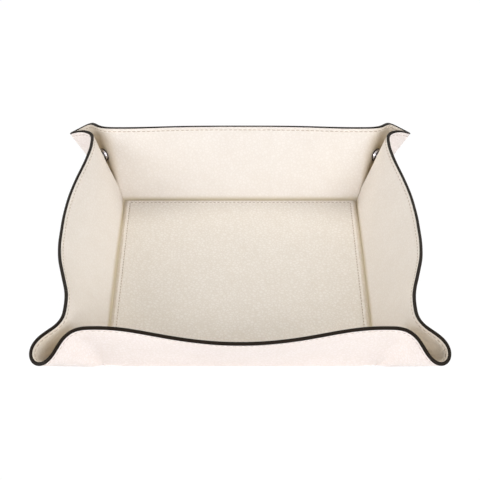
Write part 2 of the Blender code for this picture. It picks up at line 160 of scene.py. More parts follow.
# Thread
STITCH_PITCH = 3.88 * MM
PANEL_STITCH_PITCH = 3.2 * MM
STITCH_GAP = 0.95 * MM
THREAD_RADIUS = 0.29 * MM
THREAD_SIDES = 8
THREAD_RINGS = (-1, -0.93, -0.72, -0.3, 0.3, 0.72, 0.93, 1)
THREAD_END_SHARE = 0.35
THREAD_END_POWER = 3
THREAD_LIFT = 0.06 * MM
THREAD_DIVE = 0.3 * MM
THREAD_DIVE_POWER = 4

# Snaps, along their axis from the middle of the spout
SNAP_REACH = 41 * MM
SNAP_ANGLE = 23 * DEGREE
SNAP_SIDES = 56
SOCKET_RADIUS = 5.5 * MM
SOCKET_LIP = 4.9 * MM
SOCKET_MOUTH = -0.2 * MM
SOCKET_BORE = 2.45 * MM
SOCKET_FLOOR = 0.75 * MM
SOCKET_LEAD = 0.5 * MM
SOCKET_UNDERCUT = 0.35 * MM
SOCKET_STEP = (0.9 * MM, 1.1 * MM)
STUD_RADIUS = 5.1 * MM
STUD_BASE = 0.8 * MM
STUD_NECK = 1.75 * MM
STUD_BALL = 2.0 * MM
STUD_TIP_ROOM = 0.25 * MM
STUD_BALL_SHARE = 0.6
STUD_BALL_BAND = (0.35, 0.6)
STUD_BEVEL = 0.6 * MM
STUD_BEVEL_HEIGHT = 0.25 * MM
POST_RADIUS = 1.0 * MM
POST_FLARE = 0.35 * MM
POST_FLARE_THICKNESS = 0.25 * MM
POST_FIT = 0.1 * MM
FLANGE_RADIUS = 3.0 * MM
FLANGE_THICKNESS = 0.4 * MM
ROUNDING = 0.25 * MM
ROUNDING_LIMIT = 0.45
ROUNDING_SHARES = (0, 0.3, 0.7, 1)

# Sampling
WALL_COLUMNS = 120
CORNER_COLUMNS = 52
COLUMN_CROWDING = 2
KEEL_CROWDING = 2
BEND_ROWS = 12
PLAIN_ROWS = 26
RIM_BAND = 7.5 * MM
RIM_ROWS = 22
SLOPE_STEP = 0.15 * MM
SLOPE_PARTS = 10
APEX_SHARE = 0.004
BASE_BAND = 8 * MM
BASE_BAND_STEPS = 42
BASE_MIDDLE_STEPS = 44

# Angles past which an edge of a mesh is shaded sharp
SHEET_SHARP = 40 * DEGREE
BEAD_SHARP = 60 * DEGREE
METAL_SHARP = 30 * DEGREE

# Camera, fitted to the photograph's straight lines, for a frame 480 pixels wide
CAMERA_PLACE = (-0.15 * MM, -722.99 * MM, 622.34 * MM)
CAMERA_TILT = 51 * DEGREE
FOCAL_PIXELS = 1257
FRAME_PIXELS = 480
SENSOR = 36
CAMERA_CLIP = (0.05, 50)


class Wall:
    """A wall of the tray, with the axes of its own points and of its corner halves' points."""

    def __init__(self, name, along, out, half_length, reach, lean, fullness):
        self.name = name
        self.along = np.array(along, float)
        self.out = np.array(out, float)
        self.half_length = half_length
        self.reach = reach
        self.lean = lean
        self.fullness = fullness

    def place(self, points):
        """Points or directions given as (along, out, up), in the tray's axes."""
        return points[..., :1] * self.along + points[..., 1:2] * self.out + points[..., 2:] * UP

    def lean_at(self, x):
        share = np.minimum(1, np.abs(x) / self.half_length)
        return END_LEAN + (self.lean - END_LEAN) * (1 + np.cos(np.pi * share**self.fullness)) / 2


FRONT_BACK = (HALF_WIDTH, HALF_DEPTH, FRONT_BACK_LEAN, FRONT_BACK_FULLNESS)
SIDE = (HALF_DEPTH, HALF_WIDTH, SIDE_LEAN, SIDE_FULLNESS)
WALLS = (
    Wall("front", (1, 0, 0), (0, -1, 0), *FRONT_BACK),
    Wall("back", (1, 0, 0), (0, 1, 0), *FRONT_BACK),
    Wall("left", (0, 1, 0), (-1, 0, 0), *SIDE),
    Wall("right", (0, 1, 0), (1, 0, 0), *SIDE),
)


class Face:
    """One face of a leather layer.

    offset is from the middle sheet, outward positive. floor is the face's height in the groove round
    the base, where it bends up into the wall between inset and rise. The two faces that show are
    dressed: sunk along the stitches and pressed at the rim.
    """

    def __init__(self, offset, floor, inset, rise, dressed=False):
        self.offset = offset
        self.floor = floor
        self.inset = inset
        self.rise = rise
        self.dressed = dressed


LINING_FACE = Face(-HALF_THICKNESS, GROOVE_HEIGHT, GROOVE_INSET, GROOVE_RISE, dressed=True)
LINING_BACK = Face(-LAYER_GAP / 2, MID_HEIGHT + LAYER_GAP / 2, GROOVE_INSET, GROOVE_RISE)
OUTER_FACE = Face(HALF_THICKNESS, 0, OUTER_INSET, OUTER_RISE, dressed=True)
OUTER_BACK = Face(LAYER_GAP / 2, MID_HEIGHT - LAYER_GAP / 2, OUTER_INSET, OUTER_RISE)


def smooth_step(value):
    share = np.clip(value, 0, 1)
    return share * share * (3 - 2 * share)


def bell(value):
    return np.exp(-(value**2))


def unit(vectors):
    return vectors / np.maximum(np.linalg.norm(vectors, axis=-1, keepdims=True), TINY)


# Fold of the corners


def bump(value):
    """A raised cosine of area 1 over -1 to 1."""
    return (1 + np.cos(np.pi * value)) / 2 * (np.abs(value) < 1)


def fold_curve(neck_turn, keel_turn):
    """Unit rays from the base corner over the blank's angles, and the outer normals there."""
    step = DIAGONAL / CURVE_STEPS
    angle = (np.arange(CURVE_STEPS) + 0.5) * step
    turning = neck_turn * bump((angle - NECK_ANGLE) / NECK_SPREAD) / NECK_SPREAD
    turning -= 2 * keel_turn * bump((angle - DIAGONAL) / KEEL_SPREAD) / KEEL_SPREAD
    ray = np.array((0, math.sin(END_LEAN), math.cos(END_LEAN)))
    heading = np.array((1.0, 0, 0))
    rays = [ray]
    normals = [np.cross(ray, heading)]
    for rate in turning:
        turn = rate * step
        heading = heading * math.cos(turn) + np.cross(ray, heading) * math.sin(turn)
        ray, heading = (
            ray * math.cos(step) + heading * math.sin(step),
            heading * math.cos(step) - ray * math.sin(step),
        )
        rays.append(ray)
        normals.append(np.cross(ray, heading))
    return np.array(rays), np.array(normals)


def closed_fold_curve():
    """The fold curve whose last ray lies on the diagonal and crosses it square, by Newton's method."""
    turns = np.array(FIRST_TURNS)

    def misses(values):
        rays, normals = fold_curve(*values)
        return np.array((rays[-1] @ ACROSS, normals[-1] @ ACROSS))

    for _ in range(TURN_ROUNDS):
        miss = misses(turns)
        slopes = [(misses(turns + TURN_NUDGE * nudge) - miss) / TURN_NUDGE for nudge in np.eye(2)]
        turns = turns - np.linalg.solve(np.array(slopes).T, miss)
    return fold_curve(*turns)


RAYS, NORMALS = closed_fold_curve()
CURVE_ANGLES = np.linspace(0, DIAGONAL, CURVE_STEPS + 1)


def corner_frame(angle):
    """Rays and outer normals at angles of the blank. Past the diagonal they are the other half's."""
    mirrored = angle > DIAGONAL
    folded = np.where(mirrored, 2 * DIAGONAL - angle, angle)
    found = []
    for table in (RAYS, NORMALS):
        vectors = np.stack([np.interp(folded, CURVE_ANGLES, table[:, axis]) for axis in range(3)], -1)
        found.append(np.where(mirrored[..., None], vectors[..., [1, 0, 2]], vectors))
    return found


def thinning(distance):
    """The share of its thickness that the leather keeps at this distance from the base corner."""
    share = smooth_step((distance - THIN_START) / (THIN_END - THIN_START))
    kept = THIN_LEAST_SHARE + (1 - THIN_LEAST_SHARE) * share
    return kept * np.minimum(1, distance / THIN_START)


def from_rim(wall, x, y):
    """How far a point of the blank lies inside the blank's rounded outline."""
    beyond = np.abs(x) - wall.half_length
    centre = WALL_HEIGHT - CORNER_RADIUS
    rounded = CORNER_RADIUS - np.hypot(beyond - centre, y - centre)
    straight = WALL_HEIGHT - np.maximum(beyond, y)
    return np.where((beyond > centre) & (y > centre), rounded, straight)


def rim_distance(angle, inset):
    """From the base corner to the outline drawn in by inset, at angles up to the diagonal."""
    side = WALL_HEIGHT - inset
    radius = CORNER_RADIUS - inset
    centre = side - radius
    straight = side / np.cos(angle)
    middle = centre * (np.cos(angle) + np.sin(angle))
    rounded = middle + np.sqrt(np.maximum(0, middle**2 - 2 * centre**2 + radius**2))
    return np.where(straight * np.sin(angle) < centre, straight, rounded)


def flat_place(wall, x, y):
    """Where a point of the blank lies when the blank is spread flat, in the tray's axes."""
    return wall.place(np.stack([x, wall.reach + y, np.zeros_like(x)], -1))


def waviness(wall, x, y):
    """Slow unevenness of the walls, by place in the flat blank."""
    flat = flat_place(wall, x, y)
    total = 0
    for length, direction, turn in WAVES:
        run = flat[..., 0] * math.cos(direction) + flat[..., 1] * math.sin(direction)
        total = total + np.sin(2 * np.pi * run / length + turn)
    return WAVE_HEIGHT * total * smooth_step((y - WAVE_START) / (WAVE_FULL - WAVE_START))


def relief(rim):
    """How far a dressed face is raised, by distance from the rim: below 0 where it is sunk."""
    sunk = STITCH_SINK * bell((rim - STITCH_INSET) / STITCH_SINK_WIDTH)
    return -sunk - EDGE_PRESS * bell(rim / EDGE_PRESS_WIDTH)


def sheet_point(wall, x, y, offset):
    """Points at an offset from the folded middle sheet, as (along, out, up)."""
    side = np.where(x < 0, -1.0, 1.0)
    lean = wall.lean_at(x)
    straight = np.stack([x, wall.reach + y * np.sin(lean), MID_HEIGHT + y * np.cos(lean)], -1)
    straight_normal = np.stack([np.zeros_like(x), np.cos(lean), -np.sin(lean)], -1)
    beyond = np.abs(x) - wall.half_length
    ray, normal = corner_frame(np.arctan2(beyond, y))
    corner = np.array((wall.half_length, wall.reach, MID_HEIGHT))
    folded = corner + np.hypot(beyond, y)[..., None] * ray
    mirror = np.stack([side, np.ones_like(side), np.ones_like(side)], -1)
    past = (beyond > 0)[..., None]
    middle = np.where(past, folded * mirror, straight)
    outward = np.where(past, normal * mirror, straight_normal)
    return middle + (offset + waviness(wall, x, y))[..., None] * outward


def valley_fill(wall, x, y):
    """How far thick leather stands out of the valley that it bends into at a neck."""
    beyond = np.abs(x) - wall.half_length
    angle = np.arctan2(beyond, y)
    distance = np.hypot(beyond, y)
    from_neck = bump((np.minimum(angle, 2 * DIAGONAL - angle) - NECK_ANGLE) / VALLEY_SPREAD)
    started = smooth_step(distance / VALLEY_FULL)
    ended = smooth_step((from_rim(wall, x, y) - VALLEY_END[0]) / (VALLEY_END[1] - VALLEY_END[0]))
    return VALLEY_FILL * from_neck * started * ended


def face_point(wall, face, x, y):
    """Points of a leather face, as (along, out, up), with its bend into the base where y is small."""
    beyond = np.abs(x) - wall.half_length
    distance = np.hypot(beyond, y)
    thin = thinning(distance)
    offset = face.offset * thin
    if face.dressed:
        offset = offset + np.sign(face.offset) * relief(from_rim(wall, x, y))
    if face is LINING_FACE:
        offset = offset + thin * CREASE_PRESS * bell(y / CREASE_PRESS_WIDTH)
    if face is OUTER_FACE:
        offset = offset + valley_fill(wall, x, y)
    points = sheet_point(wall, x, y, offset)

    lean = wall.lean_at(x)
    corner_rise = (face.floor - MID_HEIGHT + offset * np.sin(lean)) / np.cos(lean)

    def on_wall(rise):
        out = wall.reach + rise * np.sin(lean) + offset * np.cos(lean)
        up = MID_HEIGHT + rise * np.cos(lean) - offset * np.sin(lean)
        return np.stack([x, out, up], -1)

    start = np.stack([x, np.full_like(x, wall.reach - face.inset), np.full_like(x, face.floor)], -1)
    share = np.clip((y + face.inset) / (face.inset + face.rise), 0, 1)[..., None]
    ways = ((1 - share) ** 2, 2 * share * (1 - share), share**2)
    bend = ways[0] * start + ways[1] * on_wall(corner_rise) + ways[2] * on_wall(face.rise)
    bends = ((y < face.rise) & (beyond <= 0))[..., None]
    points = np.where(bends, bend, points)
    if face is OUTER_FACE:
        near_wall = smooth_step(1 - np.arctan2(beyond, np.maximum(y, 0)) / FOOT_ANGLE)
        drop = MID_HEIGHT * near_wall * smooth_step(distance / FOOT_START)
        drop = drop * smooth_step(1 - distance / FOOT_REACH)
        points[..., 2] = np.maximum(points[..., 2] - drop, np.minimum(points[..., 2], FIT))
    return points


def face_normals(wall, face, x, y):
    """Unit normals of a face, away from the leather, as (along, out, up)."""
    from_corner = np.hypot(np.abs(x) - wall.half_length, y)
    step = np.minimum(SLOPE_STEP, (from_corner + FIT) / SLOPE_PARTS)
    across = face_point(wall, face, x + step, y) - face_point(wall, face, x - step, y)
    up = face_point(wall, face, x, y + step) - face_point(wall, face, x, y - step)
    return unit(np.cross(across, up)) * -np.sign(face.offset)


# Meshes


def new_object(name, data):
    made = bpy.data.objects.new(name, data)
    bpy.context.scene.collection.objects.link(made)
    return made


def new_piece(name, points, faces, material, normals=None, place=None, sharp=SHEET_SHARP):
    """A piece from arrays. normals are those of the first faces' corners. place feeds the material."""
    mesh = bpy.data.meshes.new(name)
    mesh.from_pydata(points.tolist(), [], [list(map(int, face)) for face in faces])
    mesh.shade_smooth()
    mesh.set_sharp_from_angle(angle=sharp)
    if place is not None:
        blank = mesh.attributes.new("blank", "FLOAT_VECTOR", "POINT")
        blank.data.foreach_set("vector", place.astype(np.float32).ravel())
    if normals is not None:
        corners = np.zeros((len(mesh.loops), 3))
        corners[: len(normals)] = normals
        mesh.normals_split_custom_set(corners.tolist())
    mesh.materials.append(material)
    return new_object(name, mesh)


def grid_faces(rows, columns):
    index = np.arange(rows * columns).reshape(rows, columns)
    return np.stack([index[:-1, :-1], index[:-1, 1:], index[1:, 1:], index[1:, :-1]], -1).reshape(-1, 4)


def grid_border(rows, columns):
    index = np.arange(rows * columns).reshape(rows, columns)
    return np.concatenate([index[0, :-1], index[:-1, -1], index[-1, :0:-1], index[:0:-1, 0]])


def sheet_piece(name, shown, shown_normals, hidden, material, place):
    """A closed sheet between two grids of points. The shown side gets the given normals."""
    rows, columns = shown.shape[:2]
    count = rows * columns
    front = grid_faces(rows, columns)
    flat = shown.reshape(-1, 3)
    normals = shown_normals.reshape(-1, 3)
    first, second, _, last = front[len(front) // 2]
    facing = np.cross(flat[second] - flat[first], flat[last] - flat[first]) @ normals[first]
    border = grid_border(rows, columns)
    following = np.roll(border, -1)
    sides = np.stack([following, border, border + count, following + count], -1)
    faces = np.concatenate([front, front[:, ::-1] + count, sides])
    if facing < 0:
        faces = faces[:, ::-1]
    points = np.concatenate([flat, hidden.reshape(-1, 3)])
    double = np.concatenate([normals, -normals])
    corners = double[faces[: 2 * len(front)].ravel()]
    return new_piece(name, points, faces, material, corners, np.concatenate([place.reshape(-1, 3)] * 2))


def tube_faces(rings, sides, first=0):
    """Faces of closed rings joined one to the next, with both ends filled."""
    index = first + np.arange(rings * sides).reshape(rings, sides)
    turned = np.roll(index, -1, axis=1)
    walls = np.stack([index[:-1], turned[:-1], turned[1:], index[1:]], -1).reshape(-1, 4)
    return [*walls, index[0][::-1], index[-1]]


def skin_piece(name, wall, x, y, shown, hidden, layer, material):
    """One leather layer over a grid of the blank."""
    return sheet_piece(
        name,
        wall.place(face_point(wall, shown, x, y)),
        wall.place(face_normals(wall, shown, x, y)),
        wall.place(face_point(wall, hidden, x, y)),
        material,
        flat_place(wall, x, y) + layer * UP,
    )


def row_distances(angle):
    """Distances from the base corner of a half corner's rows at each angle, as (rows, angles)."""
    plain = np.linspace(APEX_SHARE, 1, PLAIN_ROWS)[:-1, None] * rim_distance(angle, RIM_BAND)
    insets = np.linspace(RIM_BAND, EDGE_DEPTH - FIT, RIM_ROWS)
    near = np.stack([rim_distance(angle, inset) for inset in insets])
    return np.concatenate([plain, near])


def wall_grid(wall, face):
    """Blank coordinates of a wall's skin, mitred at its ends where it runs onto the base."""
    bend = np.linspace(-face.inset, face.rise, BEND_ROWS)
    heights = row_distances(np.zeros(1))[:, 0]
    y = np.concatenate([bend, heights[heights > face.rise + FIT]])
    share = np.linspace(-1, 1, WALL_COLUMNS + 1)
    x = share * (wall.half_length + np.minimum(0, y))[:, None]
    return x, np.tile(y[:, None], len(share))


def corner_angles():
    """Angles of a half corner's columns, closer together where the leather bends."""
    at_neck = bump((CURVE_ANGLES - NECK_ANGLE) / NECK_SPREAD)
    at_keel = bump((CURVE_ANGLES - DIAGONAL) / KEEL_SPREAD)
    total = np.cumsum(1 + COLUMN_CROWDING * (at_neck + KEEL_CROWDING * at_keel))
    return np.interp(np.linspace(total[0], total[-1], CORNER_COLUMNS), total, CURVE_ANGLES)


def corner_grid(wall, end):
    """Blank coordinates of half a corner, in rows that end along the rim."""
    angle = corner_angles()
    return polar_to_blank(wall, end, row_distances(angle), angle)


def polar_to_blank(wall, end, distance, angle):
    return end * (wall.half_length + distance * np.sin(angle)), distance * np.cos(angle)


def wall_rim(wall, inset):
    """Blank coordinates along a wall's rim, at an inset from it."""
    along = np.linspace(-wall.half_length, wall.half_length, WALL_COLUMNS + 1)
    return along, np.full_like(along, WALL_HEIGHT - inset)


def corner_rim(wall, end, inset):
    """Blank coordinates along half a corner's rim, at an inset from it."""
    angle = corner_angles()
    return polar_to_blank(wall, end, rim_distance(angle, inset), angle)


# Pieces of a wall and of a corner


def corner_name(wall, end):
    """The tray's corner at this end of a wall, such as front_left."""
    if wall.name in ("front", "back"):
        return f"{wall.name}_{'right' if end > 0 else 'left'}"
    return f"{'back' if end > 0 else 'front'}_{wall.name}"


def half_name(wall, end):
    return f"{corner_name(wall, end)}_{wall.name}_half"


def paint_piece(name, wall, rim):
    """The rounded painted edge. rim(inset) gives blank coordinates along the rim, drawn in by inset."""
    turn = np.linspace(0, np.pi, PAINT_SIDES)
    offsets = -np.sign(np.cos(turn)) * np.abs(np.cos(turn)) ** PAINT_ROUNDING * PAINT_HALF_WIDTH
    insets = (1 - np.sin(turn) ** PAINT_ROUNDING) * EDGE_DEPTH
    section = zip(insets, offsets)
    rings = [wall.place(sheet_point(wall, *rim(inset), offset)) for inset, offset in section]
    place = flat_place(wall, *rim(0))[:, None] + offsets[:, None] * UP
    return new_piece(
        name,
        np.stack(rings, 1).reshape(-1, 3),
        tube_faces(len(place), PAINT_SIDES),
        MATERIALS["paint"],
        place=place.reshape(-1, 3),
        sharp=BEAD_SHARP,
    )


def stitch_points(centre, heading, length, surface):
    """Points of stitches of this length. centre and heading are blank arrays of shape (stitches, 2).

    surface(x, y, lift) puts a point of the blank on the leather with the thread's lift over it.
    """
    side = np.stack([-heading[:, 1], heading[:, 0]], -1)
    turn = np.linspace(0, 2 * np.pi, THREAD_SIDES, endpoint=False)
    rings = np.array(THREAD_RINGS)
    round_end = np.sqrt(1 - np.abs(rings) ** THREAD_END_POWER)
    radius = THREAD_RADIUS * (THREAD_END_SHARE + (1 - THREAD_END_SHARE) * round_end)
    dive = THREAD_DIVE * np.abs(rings) ** THREAD_DIVE_POWER
    run = rings * length / 2
    across = radius[:, None] * np.cos(turn)
    lift = radius[:, None] * np.sin(turn) + (THREAD_LIFT - dive)[:, None]
    spot = (
        centre[:, None, None, :]
        + run[None, :, None, None] * heading[:, None, None, :]
        + across[None, :, :, None] * side[:, None, None, :]
    )
    lift = np.broadcast_to(lift, spot.shape[:-1])
    points = surface(spot[..., 0], spot[..., 1], lift)
    order = np.arange(len(centre))[:, None, None] * MM
    own = np.stack(np.broadcast_arrays(run[:, None], turn * THREAD_RADIUS, order), -1)
    return points.reshape(-1, 3), own.reshape(-1, 3)


def thread_piece(name, stitches, material):
    """One piece of all the stitches of a row."""
    points, place = stitches
    size = len(THREAD_RINGS) * THREAD_SIDES
    faces = []
    for first in range(0, len(points), size):
        faces += tube_faces(len(THREAD_RINGS), THREAD_SIDES, first)
    return new_piece(name, points, faces, material, place=place, sharp=BEAD_SHARP)


def rim_stitches(wall, outward, centre, heading, pitch):
    """Stitches on a wall or half corner: outward is -1 on the lining, 1 on the outer leather."""

    def surface(x, y, lift):
        return wall.place(sheet_point(wall, x, y, outward * (HALF_THICKNESS - STITCH_SINK + lift)))

    return stitch_points(centre, heading, pitch - STITCH_GAP, surface)


def wall_stitch_row(wall):
    count = round(2 * wall.half_length / STITCH_PITCH)
    pitch = 2 * wall.half_length / count
    x = (np.arange(count) + 0.5) * pitch - wall.half_length
    centre = np.stack([x, np.full_like(x, WALL_HEIGHT - STITCH_INSET)], -1)
    return centre, np.tile((1.0, 0.0), (count, 1)), pitch


def corner_stitch_row(wall, end):
    """Stitches along half a corner's rounded outline, from the end line to the diagonal."""
    straight = WALL_HEIGHT - CORNER_RADIUS
    radius = CORNER_RADIUS - STITCH_INSET
    length = straight + radius * DIAGONAL
    count = round(length / STITCH_PITCH)
    pitch = length / count
    run = (np.arange(count) + 0.5) * pitch
    turn = np.maximum(0, run - straight) / radius
    x = wall.half_length + np.minimum(run, straight) + radius * np.sin(turn)
    y = straight + radius * np.cos(turn)
    centre = np.stack([end * x, y], -1)
    return centre, np.stack([end * np.cos(turn), -np.sin(turn)], -1), pitch


def bend_over_crease(piece, wall):
    """The piece's transform is baked into its mesh; the ends of the span over the crease are worked out
    and not used.
    """
    start, end = (wall.place(np.array((0, wall.reach + out, up))) for out, up in CREASE_BLEND)
    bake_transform(piece)


def bend_over_end_line(piece, wall, end):
    """The piece's transform is baked into its mesh; the ends of the span past the end line are worked
    out and not used.
    """
    start = wall.place(np.array((end * wall.half_length, wall.reach, 0)))
    stop = wall.place(np.array((end * (wall.half_length + NECK_BLEND), wall.reach, 0)))
    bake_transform(piece)


LAYERS = (
    ("lining", LINING_FACE, LINING_BACK, LINING_BLANK),
    ("outer", OUTER_FACE, OUTER_BACK, OUTER_BLANK),
)
SIDES = (("lining", -1), ("outer", 1))


def dress(wall, body, grid, rim, stitch_row, join_skin, join_trim):
    """Both leather layers of a wall or half corner, with their painted edge and stitching.

    grid(face) and rim(inset) give places in the blank. The joins are called on each piece, to bake its
    transform or attach it to a body.
    """
    for kind, shown, hidden, layer in LAYERS:
        x, y = grid(shown)
        piece = skin_piece(f"{kind}_skin_{body}", wall, x, y, shown, hidden, layer, MATERIALS[kind])
        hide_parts(f"{kind}_{body}")
        join_skin(piece)

    paint = paint_piece(f"paint_{body}", wall, rim)
    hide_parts(f"edge_{body}")
    join_trim(paint)

    for kind, outward in SIDES:
        stitches = rim_stitches(wall, outward, *stitch_row)
        join_trim(thread_piece(f"{kind}_stitching_{body}", stitches, MATERIALS[f"{kind}_thread"]))


def add_wall(wall):
    body = f"{wall.name}_wall"
    dress(
        wall,
        body,
        lambda face: wall_grid(wall, face),
        lambda inset: wall_rim(wall, inset),
        wall_stitch_row(wall),
        lambda piece: bend_over_crease(piece, wall),
        lambda piece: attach(piece, body),
    )


def add_half(wall, end):
    def join(piece):
        bend_over_end_line(piece, wall, end)

    dress(
        wall,
        half_name(wall, end),
        lambda face: corner_grid(wall, end),
        lambda inset: corner_rim(wall, end, inset),
        corner_stitch_row(wall, end),
        join,
        join,
    )


# Base


def crease_distance(x, y):
    """Distance in from the creases, with rounded corners near them."""
    past_x = PANEL_CORNER - (HALF_WIDTH - np.abs(x))
    past_y = PANEL_CORNER - (HALF_DEPTH - np.abs(y))
    rounded = np.hypot(np.maximum(past_x, 0), np.maximum(past_y, 0))
    return PANEL_CORNER - rounded - np.minimum(np.maximum(past_x, past_y), 0)


def panel_height(x, y):
    inset = crease_distance(x, y)
    rise = smooth_step((inset - RIDGE_START) / (RIDGE_TOP - RIDGE_START))
    height = GROOVE_HEIGHT + (PANEL_HEIGHT - GROOVE_HEIGHT) * rise
    height += RIDGE_EXTRA * bell((inset - RIDGE_MIDDLE) / RIDGE_WIDTH)
    return height - PANEL_SINK * bell((inset - PANEL_STITCH_INSET) / PANEL_SINK_WIDTH)


def panel_under(x, y):
    """The lining's underside, clear of the outer leather and the board."""
    floor = np.where(crease_distance(x, y) > BOARD_FOOT, BOARD_TOP, OUTER_TOP) + FIT
    return np.maximum(floor, panel_height(x, y) - PANEL_LEATHER)


def under_height(x, y):
    return UNDER_SINK * bell((crease_distance(x, y) - PANEL_STITCH_INSET) / PANEL_SINK_WIDTH)


def base_lines(half, inset):
    """Grid lines over the base, close together along its border."""
    band = np.linspace(half - inset, half - BASE_BAND, BASE_BAND_STEPS)
    middle = np.linspace(half - BASE_BAND, BASE_BAND - half, BASE_MIDDLE_STEPS)[1:-1]
    return np.concatenate([-band, -middle, band[::-1]])


def height_normals(height, x, y, facing):
    step = SLOPE_STEP
    slope_x = (height(x + step, y) - height(x - step, y)) / (2 * step)
    slope_y = (height(x, y + step) - height(x, y - step)) / (2 * step)
    return unit(np.stack([-slope_x, -slope_y, np.ones_like(x)], -1)) * facing


def add_base_layer(kind, inset, shown, hidden, facing, layer, material):
    x, y = np.meshgrid(base_lines(HALF_WIDTH, inset), base_lines(HALF_DEPTH, inset))
    piece = sheet_piece(
        f"{kind}_skin_base",
        np.stack([x, y, shown(x, y)], -1),
        height_normals(shown, x, y, facing),
        np.stack([x, y, hidden(x, y)], -1),
        material,
        np.stack([x, y, np.full_like(x, layer)], -1),
    )
    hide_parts(f"{kind}_base")
    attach(piece, "base")


def panel_stitch_row():
    """Stitches round the panel, from corner to corner of a rectangle inside the creases."""
    centres = []
    headings = []
    half = np.array((HALF_WIDTH, HALF_DEPTH)) - PANEL_STITCH_INSET
    for heading in np.array(((1.0, 0), (0, 1), (-1, 0), (0, -1))):
        length = 2 * abs(half @ heading)
        count = round(length / PANEL_STITCH_PITCH)
        run = (np.arange(count) + 0.5) * length / count - length / 2
        side = np.array((heading[1], -heading[0]))
        centres.append(run[:, None] * heading + side * half)
        headings.append(np.tile(heading, (count, 1)))
    return np.concatenate(centres), np.concatenate(headings)


def add_base():
    def outer_top(x, y):
        return np.full_like(x, OUTER_TOP)

    lining = (GROOVE_INSET, panel_height, panel_under, 1, LINING_BLANK, MATERIALS["panel"])
    outer = (OUTER_INSET, under_height, outer_top, -1, OUTER_BLANK, MATERIALS["outer"])
    add_base_layer("lining", *lining)
    add_base_layer("outer", *outer)
    centre, heading = panel_stitch_row()
    sunk_panel = PANEL_HEIGHT - PANEL_SINK

    def on_panel(x, y, lift):
        return np.stack([x, y, sunk_panel + lift], -1)

    def under_panel(x, y, lift):
        return np.stack([x, y, np.maximum(FIT, UNDER_SINK - lift)], -1)

    rows = (("lining", on_panel, "panel_thread"), ("outer", under_panel, "outer_thread"))
    for kind, surface, thread_name in rows:
        stitches = stitch_points(centre, heading, PANEL_STITCH_PITCH - STITCH_GAP, surface)
        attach(thread_piece(f"{kind}_stitching_base", stitches, MATERIALS[thread_name]), "base")


# Snaps

# Where a snap's axis goes through the middle of the leather, from the base corner
SNAP_SPOT = SNAP_REACH * corner_frame(np.array([SNAP_ANGLE]))[0][0]


def rounded_profile(profile, closed):
    """The profile with each corner replaced by a short curve."""
    points = np.array(profile, float)
    made = []
    count = len(points)
    for index in range(count):
        point = points[index]
        if not closed and index in (0, count - 1):
            made.append(point)
            continue
        before = points[index - 1] - point
        after = points[(index + 1) % count] - point
        shorter = min(np.linalg.norm(before), np.linalg.norm(after))
        cut = min(ROUNDING, shorter * ROUNDING_LIMIT)
        first = point + unit(before) * cut
        last = point + unit(after) * cut
        for share in ROUNDING_SHARES:
            made.append((1 - share) ** 2 * first + 2 * share * (1 - share) * point + share**2 * last)
    return np.array(made)


def snap_seat():
    """Height of the snap's back face, which the hollow lining touches round its rim."""
    distance = np.linspace(SNAP_REACH - 2 * SOCKET_RADIUS, SNAP_REACH + 2 * SOCKET_RADIUS, CURVE_STEPS)
    lining = distance[:, None, None] * RAYS - HALF_THICKNESS * NORMALS
    from_axis = lining - SNAP_SPOT
    away = np.hypot(from_axis @ OUTWARD, from_axis[:, :, 2])
    heights = lining @ ACROSS
    return float(heights[away < SOCKET_RADIUS].min()) - POST_FIT


def turned_piece(name, wall, end, profile, closed, material):
    """A profile of radius and height, turned about the snap's axis. Height runs towards this half.

    A closed profile makes a ring, and an open one ends on the axis.
    """
    shape = rounded_profile(profile, closed)
    radius = shape[:, :1]
    turn = np.linspace(0, 2 * np.pi, SNAP_SIDES, endpoint=False)
    own = np.stack(np.broadcast_arrays(radius * np.cos(turn), radius * np.sin(turn), shape[:, 1:]), -1)
    corner = np.array((wall.half_length, wall.reach, MID_HEIGHT))
    centre = corner + SNAP_SPOT - ACROSS * (SNAP_SPOT @ ACROSS)
    points = centre + own @ np.array((OUTWARD, UP, ACROSS))
    points[..., 0] *= end
    flat = wall.place(points).reshape(-1, 3)
    faces = tube_faces(len(shape) + closed, SNAP_SIDES)
    if closed:
        faces = [face % len(flat) for face in faces[:-2]]
    if volume_of(flat, faces) < 0:
        faces = [face[::-1] for face in faces]
    return new_piece(name, flat, faces, material, place=own.reshape(-1, 3), sharp=METAL_SHARP)


def volume_of(points, faces):
    return sum(points[face[0]] @ np.cross(points[face[1:-1]], points[face[2:]]).sum(0) for face in faces)


def post_profile(tip, flared):
    top = float(SNAP_SPOT @ ACROSS) + FLANGE_THICKNESS / 2
    under = top - FLANGE_THICKNESS
    profile = [(FIT, top), (FLANGE_RADIUS, top), (FLANGE_RADIUS, under), (POST_RADIUS, under)]
    if not flared:
        return [*profile, (POST_RADIUS, tip), (FIT, tip)]
    neck = tip + POST_FLARE_THICKNESS
    reach = POST_RADIUS + POST_FLARE
    return [*profile, (POST_RADIUS, neck), (reach, neck), (reach, tip), (FIT, tip)]


# Profiles of a snap's four pieces, as radius and height
SEAT = snap_seat()
HOLE = POST_RADIUS + POST_FIT
FLOOR = SEAT - SOCKET_FLOOR
SOCKET_POST_TIP = FLOOR - POST_FIT - POST_FLARE_THICKNESS
SOCKET_PROFILE = (
    (SOCKET_BORE, SOCKET_MOUTH + SOCKET_LEAD),
    (SOCKET_BORE + SOCKET_LEAD, SOCKET_MOUTH),
    (SOCKET_LIP, SOCKET_MOUTH),
    (SOCKET_LIP, FLOOR),
    (SOCKET_RADIUS, FLOOR),
    (SOCKET_RADIUS, SEAT),
    (HOLE, SEAT),
    (HOLE, FLOOR),
    (SOCKET_BORE + SOCKET_UNDERCUT, FLOOR),
    (SOCKET_BORE + SOCKET_UNDERCUT, SOCKET_MOUTH + SOCKET_STEP[1]),
    (SOCKET_BORE, SOCKET_MOUTH + SOCKET_STEP[0]),
)
STUD_FACE = SEAT - STUD_BASE
STUD_TIP = STUD_TIP_ROOM - SOCKET_POST_TIP
